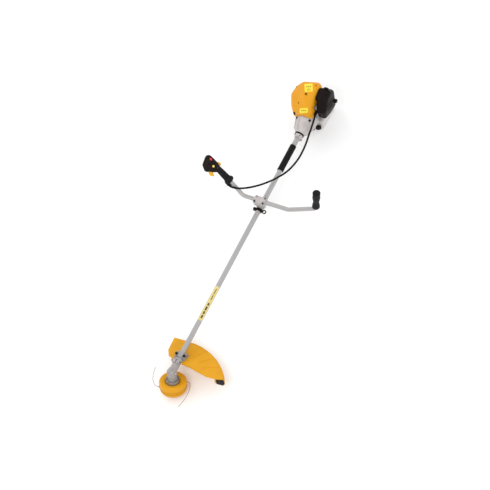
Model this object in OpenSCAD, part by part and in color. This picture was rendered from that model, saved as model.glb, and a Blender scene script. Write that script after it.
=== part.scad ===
// Petrol string trimmer with a bike handlebar, lying on the ground.
// X runs along the shaft towards the engine, Y to the operator's right, Z up.
// The origin is the centre of the footprint, at ground level.

/* [Shaft] */
// Outside diameter of the shaft tube
tube_d = 26; // [25.6:0.2:26]
// Wall thickness of the shaft tube
tube_wall = 2; // [1.8:0.1:2.2]
// Length of the shaft tube
tube_len = 1440; // [1430:5:1440]
// Height of the shaft's centre line above the ground
shaft_height = 128; // [127:0.5:129]
// Diameter of the solid drive shaft
drive_d = 8; // [7.6:0.1:8]
// Outside diameter of the foam sleeve
foam_d = 33; // [32:0.5:36]
// Length of the foam sleeve
foam_len = 159; // [140:1:170]

/* [Gearbox] */
// Tilt of the cutting head's axis from a line square to the shaft
spindle_tilt = 22; // [21.5:0.5:22.5]
// Teeth on the input pinion
pinion_teeth = 12; // [12:1:13]
// Teeth on the output gear
gear_teeth = 24; // [22:1:26]

/* [Cutting head] */
// Widest diameter of the bump-feed head
head_d = 136; // [134:1:138]
// Travel of the bump knob and spool
bump_travel = 6; // [4:1:6]
// Diameter of the nylon line
line_d = 2.4; // [2:0.1:2.7]

/* [Guard] */
// Radius of the guard's outer edge on the shaft's centre line
guard_r = 206; // [200:1:212]
// How much further the outer edge reaches at the cutter's end
guard_grow = 66; // [62:1:70]
// Depth of the guard's skirt
skirt_depth = 37; // [30:1:40]
// Thickness of the guard's walls
guard_wall = 3; // [2.5:0.25:4]

/* [Handlebar] */
// Outside diameter of the handlebar tube
bar_d = 22; // [21:0.5:22]
// Wall thickness of the handlebar tube
bar_wall = 2; // [1.8:0.1:2.2]
// Distance from the head's axis to the handlebar clamp, along the shaft
clamp_x = 1000; // [995:1:1005]
// Height of the handlebar above the shaft's centre line
bar_rise = 38; // [37.5:0.5:38.5]
// Bend radius of the handlebar
bar_bend = 32; // [28:1:32]
// Diameter of the throttle cable
cable_d = 10; // [8:0.5:10]

/* [Engine] */
// Cylinder bore
bore_d = 39; // [38:0.5:39]
// Piston stroke
stroke = 26; // [24:1:26]
// Width of the fuel tank
tank_w = 118; // [114:1:120]
// Wall of the top cover and the air cleaner cover
cover_wall = 3; // [2.5:0.25:3]

/* [Hidden] */
$fn = 64;

// Where the shaft's centre line meets the head's axis
apex = [-813, 42, shaft_height];
// Clearance of a running fit and of a bolt hole
run = 0.05;
loose = 0.25;

// Shaft: distances from the apex
tube_start = 42;
tube_end = tube_start + tube_len;
foam_start = 1210;
bushing_pitch = 300;

// Cutting head, measured along its axis from the apex (down is negative)
head_r = head_d / 2;
foot_r = 60;
head_foot = -(shaft_height - foot_r * sin(spindle_tilt)) / cos(spindle_tilt);
head_split = -88;
line_level = -80;
line_angle = 131;

// Guard, measured in the head's frame
guard_top = 22;
guard_sweep = 78;
guard_tip = (guard_r + guard_grow) * [cos(guard_sweep), -sin(guard_sweep)];
guard_heel = [43, -219];
saddle_x = 97;

// Handlebar centre line, from the apex
bar_right_end = [1026, 233, 240];
bar_right_bend = [1014, 137, 78];
bar_left_bend = [1023, -321, 100];
bar_left_end = [1041, -346, 230];
bar_points = [
    bar_right_end - [1, 8, 13.5] * 2.2,
    bar_right_bend,
    [clamp_x, 100, bar_rise],
    [clamp_x, -160, bar_rise],
    bar_left_bend,
    bar_left_end
];

// Throttle housing, in the right grip's frame: centre and radius of each round of its outline
head_rounds = [
    [8, 0, 146, 19], [10, -4, 165, 20], [14, 10, 160, 22], [2, -8, 195, 14],
    [14, -6, 215, 19], [22, 22, 200, 20], [18, 36, 186, 16]
];
head_joint = 14;
head_screws = [[-9.5, 0, 168], [4, 20, 207]];
trigger_pivot = [14, 27, 170];
lockout_pivot = [14, -20, 168];
switch_seat = [-4, -6, 212];
button_seat = [-14, 14, 182];
grip_start = 50.4;

// Throttle cable's centre line, from the right grip over the shaft to the carburettor
cable_points = [
    [185, 207, 249], [184, 200, 237], [184, 192, 228], [187, 177, 221], [196, 155, 214],
    [209, 133, 207], [225, 111, 201], [244, 89, 195], [264, 68, 190], [287, 47, 186],
    [311, 27, 182], [337, 9, 179], [365, -8, 176], [395, -21, 173], [427, -30, 171],
    [459, -36, 170], [492, -39, 170], [525, -39, 171], [558, -37, 172], [591, -33, 174],
    [624, -28, 176], [657, -24, 177], [687, -19, 178], [715, -14, 179], [740, -8, 180],
    [757, -8, 180]
];
// Nylon lines' centre lines, in the plane of the eyelets, from the head's axis
line_a_points = [
    [-41, 47], [-46, 54], [-48, 63], [-46, 73], [-39, 84], [-29, 95], [-17, 106], [-3, 115],
    [12, 123], [28, 130], [46, 136], [65, 141]
];
line_b_points = [
    [41, -47], [46, -54], [46, -63], [40, -71], [30, -78], [17, -85], [2, -91], [-15, -96],
    [-33, -100], [-53, -103], [-75, -105], [-98, -105], [-121, -104]
];

// Engine stations along the shaft, from the apex
neck_x = 1415;
bell_x = 1550;
cyl_x = 1600;
recoil_x = 1650;
crank_r = 24;
cyl_top = 100;
tank_top = -56.5;
// Rounds of the top cover: centre and radius
cover_rounds = [
    [1542, -18, 36, 26], [1542, 48, 36, 26], [1556, -8, 84, 28], [1570, 60, 62, 32],
    [1612, 76, 76, 34], [1640, 66, 92, 31], [1656, 48, 106, 28], [1668, -14, 110, 28],
    [1660, -12, 42, 26], [1660, 58, 40, 26]
];
// Rounds of the air cleaner cover: centre, radius and the Y of its open edge
cleaner_rounds = [
    [1572, -88, 26, 14, -64], [1574, -90, 66, 16, -63], [1616, -88, 112, 18, -52],
    [1650, -90, 122, 18, -52], [1672, -92, 98, 16, -56], [1654, -90, 18, 18, -66],
    [1612, -88, 10, 14, -66]
];

// --- placing ---

module at_shaft(x = 0, y = 0, z = 0) {
    translate(apex + [x, y, z]) children();
}

// Turns a child's own Z to lie along the shaft, towards the engine
module along_x(x = 0, y = 0, z = 0) {
    at_shaft(x, y, z) rotate([0, 90, 0]) children();
}

// Places a child on the head's axis, d above the apex
module at_spindle(d = 0) {
    at_shaft() rotate([0, spindle_tilt, 0]) translate([0, 0, d]) children();
}

// Turns a child's own Z from point a towards point b, both from the apex
module aim(a, b) {
    v = (b - a) / norm(b - a);
    at_shaft(a[0], a[1], a[2]) rotate([0, acos(v[2]), atan2(v[1], v[0])]) children();
}

module on_right_grip() {
    aim(bar_right_bend, bar_right_end) children();
}

module on_left_grip() {
    aim(bar_left_bend, bar_left_end) children();
}

// --- shapes ---

module ring(r, bore, h) {
    difference() {
        cylinder(r = r, h = h);
        translate([0, 0, -1]) cylinder(r = bore, h = h + 2);
    }
}

// Solid turned from a list of [radius, height] points
module turned(points) {
    rotate_extrude() polygon(points);
}

// Points of an arc round c, from angle a0 to a1
function arc(c, r, a0, a1, steps = 6) =
    [for (i = [0:steps]) c + r * [cos(a0 + (a1 - a0) * i / steps), sin(a0 + (a1 - a0) * i / steps)]];

function unit(v) = v / norm(v);
function square_to(v, t) = unit(v - t * (v * t));
function tangent(p, i) = unit(p[min(i + 1, len(p) - 1)] - p[max(i - 1, 0)]);

// Directions square to a path that turn with it and don't twist
function carried(p, side) = [
    for (i = 0, n = square_to(side, tangent(p, 0)); i < len(p);
        i = i + 1, n = square_to(n, tangent(p, min(i, len(p) - 1)))) n
];

// Arc that rounds the corner b between points a and c
function rounded_corner(a, b, c, r, steps) =
    let (u = unit(a - b), w = unit(c - b), half = acos(u * w) / 2)
    let (middle = b + unit(u + w) * r / sin(half), start = b + u * r / tan(half))
    let (p = unit(start - middle), q = square_to(b + w * r / tan(half) - middle, p))
    [for (i = [0:steps]) let (t = (180 - 2 * half) * i / steps) middle + r * (cos(t) * p + sin(t) * q)];

function rounded_path(p, r, steps = 6) = concat(
    [p[0]],
    [for (i = [1:len(p) - 2]) each rounded_corner(p[i - 1], p[i], p[i + 1], r, steps)],
    [p[len(p) - 1]]
);

// Path made longer at both ends
function stretched(p, by) = let (n = len(p) - 1) concat(
    [p[0] + by * unit(p[0] - p[1])],
    [for (i = [1:n - 1]) p[i]],
    [p[n] + by * unit(p[n] - p[n - 1])]
);

// Round bar swept along a path
module sweep(path, r, sides, side = [0, 0, 1]) {
    last = len(path) - 1;
    across = carried(path, side);
    corners = [
        for (i = [0:last], k = [0:sides - 1])
            let (t = tangent(path, i), a = across[i], b = cross(t, a))
            path[i] + r * (cos(360 * k / sides) * a + sin(360 * k / sides) * b)
    ];
    skin = [
        for (i = [0:last - 1], k = [0:sides - 1])
            let (j = (k + 1) % sides)
            [i * sides + k, (i + 1) * sides + k, (i + 1) * sides + j, i * sides + j]
    ];
    caps = [[for (k = [0:sides - 1]) k], [for (k = [0:sides - 1]) last * sides + sides - 1 - k]];
    polyhedron(points = corners, faces = concat(skin, caps));
}

// Socket-head bolt M5, its head above its origin
module socket_bolt(length = 25) {
    difference() {
        union() {
            cylinder(r = 4.25, h = 5);
            translate([0, 0, -length]) cylinder(r = 2.5, h = length + 0.5);
        }
        translate([0, 0, 2.5]) cylinder(r = 2.3, h = 3, $fn = 6);
    }
}

// Clearance hole for the same bolt
module bolt_hole() {
    translate([0, 0, -60]) cylinder(r = 2.5 + loose, h = 65);
}

// Countersunk screw M4 by 12, its head above its origin
module small_screw() {
    difference() {
        union() {
            cylinder(r = 3.5, h = 2);
            translate([0, 0, -12]) cylinder(r = 2, h = 12.5);
        }
        for (a = [0, 90]) rotate([0, 0, a]) translate([-2.5, -0.4, 1]) cube([5, 0.8, 2]);
    }
}

// --- shaft ---

module shaft_tube() {
    color("silver") along_x(tube_start) ring(tube_d / 2, tube_d / 2 - tube_wall, tube_len);
}

module shaft_bushings() {
    color("dimgray")
        for (i = [0:4]) along_x(120 + i * bushing_pitch)
            ring(tube_d / 2 - tube_wall - run, drive_d / 2 + run, 25);
}

module drive_shaft() {
    color("gray") along_x(32) cylinder(r = drive_d / 2, h = 1467);
}

module foam_sleeve() {
    r = foam_d / 2;
    bore = tube_d / 2 + run;
    color([0.08, 0.08, 0.08]) along_x(foam_start)
        turned(concat([[bore, 0]], arc([r - 2, 2], 2, -90, 0), arc([r - 2, foam_len - 2], 2, 0, 90),
            [[bore, foam_len]]));
}

// --- gearbox ---

module gear_case() {
    color([0.62, 0.62, 0.63]) difference() {
        union() {
            along_x(8) cylinder(r = 19, h = 69);
            along_x(66) cylinder(r = 20.5, h = 11);
            at_shaft() sphere(r = 24);
            at_spindle(-50) cylinder(r = 24, h = 60);
            at_spindle(8) cylinder(r = 13.5, h = 18);
            at_shaft(46, -20, 8) cube([18, 40, 15]);
        }
        at_spindle(-51) cylinder(r = 16 + run, h = 40);
        at_spindle(-12) cylinder(r = 19.5, h = 24);
        at_spindle(11) cylinder(r = 9.5 + run, h = 13.5);
        along_x(0) cylinder(r = 13.5, h = 32);
        along_x(31) cylinder(r = 11, h = 12);
        along_x(tube_start) cylinder(r = tube_d / 2 + run, h = 40);
        at_shaft(46, -1.5, 10) cube([34, 3, 20]);
        at_shaft(55, 20, 17) rotate([-90, 0, 0]) bolt_hole();
    }
}

module input_pinion() {
    color("gray") difference() {
        union() {
            along_x(10) cylinder(r1 = 5.5, r2 = 8.9, h = 5.5);
            along_x(15.5) cylinder(r = 7, h = 22);
        }
        for (i = [0:pinion_teeth - 1]) along_x(10) rotate([0, 0, i * 360 / pinion_teeth])
            translate([6.6, -0.7, -1]) cube([4, 1.4, 6.5]);
        along_x(30) cylinder(r = drive_d / 2 + run, h = 10);
    }
}

module output_gear() {
    color("gray") at_spindle(-9) difference() {
        turned([[5 + run, 0], [15, 0], [17, 2], [17, 6], [11, 7.1], [5 + run, 7.1]]);
        for (i = [0:gear_teeth - 1]) rotate([0, 0, i * 360 / gear_teeth])
            translate([12, -0.7, 5.2]) cube([6, 1.4, 3]);
    }
}

module gearbox_bearings() {
    color("lightsteelblue") {
        at_spindle(-44) ring(16, 5 + run, 12);
        at_spindle(15) ring(9.5, 4 + run, 8);
        along_x(19) ring(13.5 - run, 7 + run, 9);
    }
}

module output_spindle() {
    color("silver") {
        at_spindle(-86) cylinder(r = 5, h = 98);
        at_spindle(11) cylinder(r = 4, h = 12.5);
        at_spindle(-31) cylinder(r = 8, h = 21.5);
    }
}

module drive_flange() {
    color([0.7, 0.7, 0.72]) at_spindle(-62)
        turned([[5 + run, 0], [31, 0], [33, 2], [33, 20], [30.5, 20], [30.5, 4.5], [9, 4.5],
            [9, 10], [5 + run, 10]]);
}

// --- cutting head ---

module head_housing() {
    color([0.91, 0.66, 0.08]) difference() {
        at_spindle() turned(concat(
            [[5 + run, -62.5], [34.5, -62.5], [37.5, -57]],
            arc([45.5, -58], 5.5, 130, 90, 3), arc([57, -62], 11, 90, 0, 6),
            [[head_r, -66], [head_r, head_split], [head_r - 3.2, head_split], [head_r - 3.2, -65]],
            arc([57, -62], 7.6, 0, 90, 4),
            [[46, -55.7], [41.5, -60], [38.5, -66.5], [5 + run, -66.5]]
        ));
        for (a = [0, 180]) at_spindle(line_level) rotate([0, 90, line_angle + a])
            translate([0, 0, 55]) cylinder(r = 4 + run, h = 20);
    }
}

module head_cover() {
    color([0.91, 0.66, 0.08]) at_spindle() turned([
        [head_r, head_split - 0.4], [head_r, -91], [64.5, -92.5], [64.5, -96], [66.5, -97.5],
        [66.5, -101], [63, -103], [foot_r, head_foot], [36, head_foot], [36, head_foot + 3],
        [foot_r - 2.6, head_foot + 3.2], [60, -103], [61.5, -93], [head_r - 3.2, -90.5],
        [head_r - 3.2, head_split - 0.4]
    ]);
}

module spool() {
    color([0.1, 0.1, 0.1]) at_spindle() turned([
        [8, -104], [56, -104], [56, -102], [24, -102], [24, -78], [56, -78], [56, -76], [18, -76],
        [18, -97], [8, -97]
    ]);
}

module wound_line() {
    color([0.85, 0.85, 0.82]) at_spindle(-101.5) ring(50, 24.2, 23);
}

module head_spring() {
    turns = 5;
    color("silver") at_spindle() sweep(
        [for (i = [0:turns * 16]) [14 * cos(i * 22.5), 14 * sin(i * 22.5), -90 + 23 * i / turns / 16]],
        0.8, 8);
}

module bump_knob() {
    color([0.91, 0.66, 0.08]) at_spindle() turned(concat(
        [[0, -122], [14, -122]], arc([22, -116], 6, -90, 0),
        [[28, -104.2], [8, -104.2], [8, -107], [0, -107]]
    ));
}

module line_eyelets() {
    color("silver") for (a = [0, 180]) at_spindle(line_level) rotate([0, 90, line_angle + a])
        translate([0, 0, 58.5]) difference() {
            union() {
                cylinder(r = 4, h = 11);
                translate([0, 0, head_r - 58]) cylinder(r = 5.5, h = 2);
            }
            translate([0, 0, -1]) cylinder(r = line_d / 2 + 0.7, h = 20);
        }
}

module nylon_line(points) {
    color([0.86, 0.86, 0.84]) at_spindle(line_level)
        sweep([for (p = points) [p[0], p[1], 0]], line_d / 2, 8);
}

module line_a() {
    nylon_line(line_a_points);
}

module line_b() {
    nylon_line(line_b_points);
}

// --- guard ---

// The outer edge's radius grows towards the cutter's end
function guard_edge(a, inset) =
    (guard_r + guard_grow * pow(abs(a) / guard_sweep, 2.5) - inset) * [cos(a), -sin(a)];

module guard_outline(inset) {
    polygon(concat(
        [for (i = [0:14]) guard_edge(guard_sweep * i / 14 - inset * 0.4, inset)],
        [guard_heel + inset * [1, -0.3], [36 + inset, -178], [56 + inset, -70],
            [60 + inset, 12], [79 + inset, 57 - inset], [108 + inset * 0.5, 86 - inset],
            [200 - inset, 106 - inset], [204 - inset, 52]]
    ));
}

module guard_shell() {
    color([0.91, 0.66, 0.08]) difference() {
        at_spindle(guard_top - skirt_depth) linear_extrude(skirt_depth) guard_outline(0);
        at_spindle(guard_top - skirt_depth - guard_wall)
            linear_extrude(skirt_depth) guard_outline(guard_wall);
        at_spindle(guard_top - skirt_depth - 1) linear_extrude(skirt_depth - 9)
            polygon([[0, -216], [58, -216], [56, -190], [70, -70], [72, 8], [96, 56], [110, 100], [0, 100]]);
        along_x(30) cylinder(r = 22.5, h = 49);
        along_x(saddle_x - 20) cylinder(r = 15, h = 40);
        for (y = [-22, 22]) at_shaft(saddle_x, y, 0) bolt_hole();
        at_cutter_screws() translate([0, 0, -12]) cylinder(r = 2 + loose, h = 20);
    }
}

// Frame on the guard's end wall: X runs inwards along it, Y points out of it
module at_cutter() {
    along = guard_heel - guard_tip;
    at_spindle() translate(guard_tip) rotate([0, 0, atan2(along[1], along[0])]) children();
}

module at_cutter_screws() {
    at_cutter() for (u = [14, 36]) translate([u, 2.3, 2]) rotate([-90, 0, 0]) children();
}

module guard_bracket() {
    color([0.6, 0.6, 0.61]) difference() {
        union() {
            difference() {
                at_shaft(saddle_x - 18, -29, -40) cube([38, 58, 39.5]);
                at_spindle(guard_top - 200) translate([-300, -300, 0]) cube([800, 600, 200 + run]);
            }
            difference() {
                union() {
                    along_x(saddle_x - 13) cylinder(r = 17.5, h = 26);
                    at_shaft(saddle_x - 13, -29, 0.5) cube([26, 58, 5]);
                }
                at_shaft(saddle_x - 30, -40, -40) cube([60, 80, 40.5]);
            }
        }
        along_x(saddle_x - 40) cylinder(r = tube_d / 2 + run, h = 80);
        for (y = [-22, 22]) at_shaft(saddle_x, y, 5.5) bolt_hole();
    }
}

module line_cutter() {
    color([0.12, 0.12, 0.12]) difference() {
        at_cutter() translate([0, 2.3, 0]) rotate([90, 0, 0]) linear_extrude(2)
            polygon([[2, -12], [9, -22], [42, -17], [46, 10], [6, 14]]);
        at_cutter_screws() translate([0, 0, -12]) cylinder(r = 2 + loose, h = 20);
    }
}

// --- fasteners shared by several places ---

module clamp_bolts() {
    color([0.15, 0.15, 0.15]) {
        for (y = [-22, 22]) at_shaft(saddle_x, y, 5.5) socket_bolt(32);
        for (x = [-14.5, 14.5], y = [-24, 24]) at_shaft(clamp_x + x, y, bar_rise + 6.5) socket_bolt();
        at_shaft(55, 20, 17) rotate([-90, 0, 0]) socket_bolt(44);
        at_shaft(clamp_x - 35, 23, 8) socket_bolt(20);
        for (z = [-1, 1]) at_shaft(neck_x + 9, 9, 22 * z) rotate([-90, 0, 0]) socket_bolt();
    }
}

module small_screws() {
    color("silver") {
        at_cutter_screws() small_screw();
        on_right_grip() for (p = head_screws) translate(p) rotate([0, -90, 0]) small_screw();
    }
}

// --- handlebar ---

module handlebar() {
    color([0.76, 0.75, 0.75]) at_shaft() difference() {
        sweep(rounded_path(bar_points, bar_bend), bar_d / 2, 24, [1, 0, 0]);
        sweep(rounded_path(stretched(bar_points, 5), bar_bend), bar_d / 2 - bar_wall, 24, [1, 0, 0]);
    }
}

module clamp_base() {
    color([0.6, 0.6, 0.61]) difference() {
        union() {
            along_x(clamp_x - 20) cylinder(r = 20, h = 40);
            at_shaft(clamp_x - 20.5, -32, 12) cube([41, 64, bar_rise - 12.5]);
        }
        along_x(clamp_x - 30) cylinder(r = tube_d / 2 + run, h = 60);
        at_shaft(clamp_x, -40, bar_rise) rotate([-90, 0, 0]) cylinder(r = bar_d / 2 + 0.15, h = 80);
        for (x = [-14.5, 14.5], y = [-24, 24]) at_shaft(clamp_x + x, y, bar_rise + 6.5) bolt_hole();
        at_shaft(clamp_x - 30, -1.5, -30) cube([60, 3, 20]);
    }
}

module clamp_cap() {
    color([0.6, 0.6, 0.61]) difference() {
        union() {
            at_shaft(clamp_x - 20.5, -32, bar_rise + 0.5) cube([41, 64, 6]);
            at_shaft(clamp_x, -32, bar_rise) rotate([-90, 0, 0]) cylinder(r = 17, h = 64);
        }
        at_shaft(clamp_x - 50, -50, bar_rise - 99.5) cube([100, 100, 100]);
        at_shaft(clamp_x, -40, bar_rise) rotate([-90, 0, 0]) cylinder(r = bar_d / 2 + 0.15, h = 80);
        for (x = [-14.5, 14.5], y = [-24, 24]) at_shaft(clamp_x + x, y, bar_rise + 6.5) {
            bolt_hole();
            cylinder(r = 6.6, h = 9);
        }
    }
}

module harness_collar() {
    color([0.1, 0.1, 0.1]) difference() {
        union() {
            along_x(clamp_x - 42) cylinder(r = 17.5, h = 14);
            at_shaft(clamp_x - 42, 12, 1.5) cube([14, 18, 6.5]);
            at_shaft(clamp_x - 42, 12, -8) cube([14, 18, 6.5]);
            at_shaft(clamp_x - 42, -31, -3) cube([14, 20, 6]);
            at_shaft(clamp_x - 35, -31, -3) cylinder(r = 10.5, h = 6);
        }
        along_x(clamp_x - 60) cylinder(r = tube_d / 2 + run, h = 40);
        at_shaft(clamp_x - 35, -31, -10) cylinder(r = 6.5, h = 20);
        at_shaft(clamp_x - 60, 10, -1.5) cube([40, 30, 3]);
        at_shaft(clamp_x - 35, 23, 8) bolt_hole();
    }
}

module left_grip() {
    bore = bar_d / 2 + 0.2;
    length = 140;
    start = 18;
    color([0.12, 0.12, 0.12]) on_left_grip() turned(concat(
        [[bore, start]],
        [for (z = [start:6:120]) [17.5 + 2.2 * cos((z - 22) * 4.6), z]],
        arc([9, 130], 10, 0, 90),
        [[0, length], [0, length - 5], [bore, length - 5]]
    ));
}

module throttle_grip() {
    bore = bar_d / 2 + 0.2;
    color([0.12, 0.12, 0.12]) on_right_grip() turned(concat(
        [[bore, grip_start]],
        arc([22, grip_start + 3], 3, -90, 0, 3), arc([22, grip_start + 9], 3, 0, 70, 3),
        [[17.5, 76], [16.8, 90], [17.2, 104], [16.4, 118], [16, 132], [16, 140], [bore, 140]]
    ));
}

// --- throttle control, in the right grip's frame ---

module throttle_head() {
    hull() for (s = head_rounds) translate([s[0], s[1], s[2]]) sphere(r = s[3], $fn = 32);
}

// Turns a child's own Z to face out of the housing, where the switch and the button sit
module facing_out(p) {
    translate(p) rotate([0, 62.3, 157.8]) children();
}

module throttle_cuts() {
    translate([0, 0, 130]) cylinder(r = bar_d / 2 + 0.2, h = 26);
    translate([0, 0, 100]) cylinder(r = 16.3, h = 40.3);
    translate([7.5, 18, 120]) cube([13, 60, 62]);
    translate([8.5, -80, 120]) cube([11, 70, 60]);
    for (p = [trigger_pivot, lockout_pivot]) translate([3, p[1], p[2]]) rotate([0, 90, 0])
        cylinder(r = 2.5 + run, h = 22);
    for (p = head_screws) translate(p) rotate([0, -90, 0]) {
        translate([0, 0, -13]) cylinder(r = 2 + loose, h = 20);
        cylinder(r = 3.9, h = 30);
    }
    facing_out(switch_seat) cylinder(r = 9, h = 30);
    facing_out(button_seat) translate([0, 0, -9]) cylinder(r = 6 + loose, h = 30);
}

module throttle_housing_front() {
    color([0.2, 0.18, 0.19]) on_right_grip() difference() {
        throttle_head();
        translate([head_joint - 0.1, -100, 50]) cube([100, 200, 250]);
        throttle_cuts();
    }
}

module throttle_housing_rear() {
    color([0.2, 0.18, 0.19]) on_right_grip() difference() {
        throttle_head();
        translate([head_joint - 99.9, -100, 50]) cube([100, 200, 250]);
        throttle_cuts();
    }
}

// Lever with its trunnions; outline in the grip's Y and Z
module lever(outline, pivot, width) {
    on_right_grip() {
        translate([pivot[0] - width / 2, 0, 0]) rotate([90, 0, 90]) linear_extrude(width) polygon(outline);
        translate([pivot[0] - 10.5, pivot[1], pivot[2]]) rotate([0, 90, 0]) cylinder(r = 2.5, h = 21);
    }
}

module throttle_trigger() {
    color([0.87, 0.66, 0.16]) lever(
        concat([[24, 176], [32, 175]], arc([32, 151], 18, 40, -35), [[40, 131], [32, 146], [23, 163]]),
        trigger_pivot, 12);
}

module throttle_lockout() {
    color([0.87, 0.66, 0.16]) lever(
        concat([[-16, 173], [-24, 173]], arc([-24, 148], 11, 150, 225), [[-26, 137], [-24, 150], [-15.5, 163]]),
        lockout_pivot, 10);
}

module stop_switch() {
    color([0.78, 0.2, 0.17]) on_right_grip() facing_out(switch_seat) difference() {
        union() {
            translate([-7, -4.2, 1.8]) cube([14, 8.4, 8]);
            translate([0, -6, 4.5]) rotate([-90, 0, 0]) cylinder(r = 1.5, h = 12);
        }
        translate([0, -10, 20.4]) rotate([-90, 0, 0]) cylinder(r = 12.5, h = 20);
    }
}

module start_lock_button() {
    color([0.9, 0.88, 0.7]) on_right_grip() facing_out(button_seat) translate([0, 0, -5.4])
        turned(concat([[0, 0], [6, 0]], arc([4.5, 8], 1.5, 0, 90), [[0, 9.5]]));
}

module throttle_cable() {
    color([0.09, 0.09, 0.09]) sweep(cable_points, cable_d / 2, 12);
}

// --- clutch ---

module clutch_housing() {
    color([0.66, 0.66, 0.67]) difference() {
        along_x() turned([
            [0, neck_x], [17.5, neck_x], [19, neck_x + 19.8], [21, neck_x + 20], [21, neck_x + 28],
            [25, neck_x + 28.2], [36, neck_x + 44], [43, neck_x + 62], [49, neck_x + 86],
            [55, bell_x - 36], [55, bell_x], [50, bell_x], [50, bell_x - 34], [43, bell_x - 50],
            [40, bell_x - 60], [0, bell_x - 60]
        ]);
        along_x(neck_x - 1) cylinder(r = tube_d / 2 + run, h = tube_end - neck_x + 1);
        along_x(tube_end - 5) cylinder(r = 11, h = 20);
    }
    color([0.66, 0.66, 0.67]) difference() {
        for (z = [-1, 1]) at_shaft(neck_x + 2, -14, z * 22 - 5) cube([14, 23, 10]);
        along_x(neck_x - 1) cylinder(r = 17.9, h = 30);
        for (z = [-1, 1]) at_shaft(neck_x + 9, 9, 22 * z) rotate([-90, 0, 0]) bolt_hole();
    }
}

module damper_ring() {
    color([0.1, 0.1, 0.1]) along_x(neck_x + 20.4) ring(24, 21.1, 7.2);
}

module clutch_drum() {
    color("gray") along_x(1492) turned([
        [drive_d / 2 + run, 0], [10, 0], [10, 4], [38, 4], [38, 30], [35, 30], [35, 7],
        [drive_d / 2 + run, 7]
    ]);
}

module clutch_shoes() {
    color("dimgray") for (a = [0, 180]) along_x(1502) rotate([0, 0, a]) difference() {
        ring(33, 8 + run, 12);
        translate([-50, -50, -1]) cube([100, 52, 20]);
    }
}

module crankshaft() {
    color("silver") {
        along_x(1501) cylinder(r = 8, h = cyl_x - 1508);
        for (x = [cyl_x - 15, cyl_x + 7]) along_x(x) cylinder(r = crank_r, h = 8);
        at_shaft(cyl_x - 8, 0, stroke / 2) rotate([0, 90, 0]) cylinder(r = 6, h = 16);
        along_x(cyl_x + 14) cylinder(r = 8, h = 46);
    }
}

module flywheel() {
    color([0.6, 0.6, 0.6]) {
        along_x(1530) ring(45, 8 + run, 5);
        along_x(1530) ring(14, 8 + run, 12);
        for (i = [0:11]) along_x(1534.9) rotate([0, 0, i * 30]) translate([24, -1, 0]) cube([20, 2, 9]);
    }
}

// --- engine ---

module crankcase() {
    color([0.6, 0.6, 0.61]) difference() {
        union() {
            at_shaft(cyl_x - 40, -36, -39) cube([89.8, 72, 60]);
            at_shaft(cyl_x - 28, -27, 20) cube([56, 54, 13]);
            at_shaft(cyl_x - 36, -30, tank_top + 0.2) cube([76, 60, 20]);
            along_x(bell_x + 0.1) cylinder(r = 55, h = 10);
        }
        along_x(cyl_x - 22) cylinder(r = crank_r + 3, h = 44);
        along_x(bell_x - 1) cylinder(r = 8 + run, h = 110);
        at_shaft(cyl_x, 0, 0) cylinder(r = bore_d / 2 + 3, h = 40);
    }
}

module cylinder_block() {
    color([0.55, 0.55, 0.56]) difference() {
        union() {
            at_shaft(cyl_x, 0, 33.1) cylinder(r = 26, h = cyl_top - 34);
            for (i = [0:6]) at_shaft(cyl_x - 30, -30, 38 + i * 8) cube([60, 60, 3]);
            at_shaft(cyl_x - 26, -26, 92) cube([52, 52, cyl_top - 92]);
        }
        at_shaft(cyl_x, 0, 20) cylinder(r = bore_d / 2, h = 72);
        at_shaft(cyl_x, 12, 85) cylinder(r = 5 + run, h = 40);
        at_shaft(cyl_x, 15, 76) rotate([-90, 0, 0]) cylinder(r = 8, h = 30);
        at_shaft(cyl_x, -15, 60) rotate([90, 0, 0]) cylinder(r = 6, h = 30);
        at_shaft(cyl_x, -25.5, 60) rotate([90, 0, 0]) cylinder(r = 9.3, h = 10);
    }
}

module piston() {
    color("silver") at_shaft(cyl_x, 0, crank_r + stroke + 6) difference() {
        cylinder(r = bore_d / 2 - run, h = 30);
        translate([0, 0, -1]) cylinder(r = bore_d / 2 - 4, h = 24);
        for (z = [22, 26]) translate([0, 0, z]) ring(bore_d, bore_d / 2 - 1, 1.5);
    }
}

module spark_plug() {
    color([0.9, 0.9, 0.88]) at_shaft(cyl_x, 12, 0) {
        translate([0, 0, cyl_top - 10]) cylinder(r = 5, h = 11);
        translate([0, 0, cyl_top + 0.1]) cylinder(r = 8, h = 6, $fn = 6);
        translate([0, 0, cyl_top + 5]) cylinder(r = 4, h = 12);
    }
}

module cover_blob(inset) {
    hull() for (s = cover_rounds) at_shaft(s[0], s[1], s[2]) sphere(r = s[3] - inset, $fn = 32);
}

module top_cover() {
    color([0.88, 0.63, 0.14]) difference() {
        cover_blob(0);
        cover_blob(cover_wall);
        at_shaft(1400, -200, -100) cube([400, 400, 122]);
        along_x(1500) cylinder(r = 57, h = 60.5);
        along_x(recoil_x - 1) cylinder(r = 54, h = 60);
        at_shaft(cyl_x - 34, -60, 20) cube([63, 33.2, 62]);
        at_shaft(1508, 47, 50) cube([24, 18, 8]);
        at_shaft(1608, 14, 100) cylinder(r = 5, h = 60);
    }
}

module muffler() {
    color([0.4, 0.4, 0.42]) {
        difference() {
            at_shaft(cyl_x - 22, 41, 42) cube([60, 28, 44]);
            at_shaft(cyl_x - 20, 43, 44) cube([56, 24, 40]);
            at_shaft(cyl_x, 38, 76) rotate([-90, 0, 0]) cylinder(r = 6, h = 6);
        }
        at_shaft(cyl_x, 24, 76) rotate([-90, 0, 0]) ring(7.8, 6, 18);
    }
}

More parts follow.
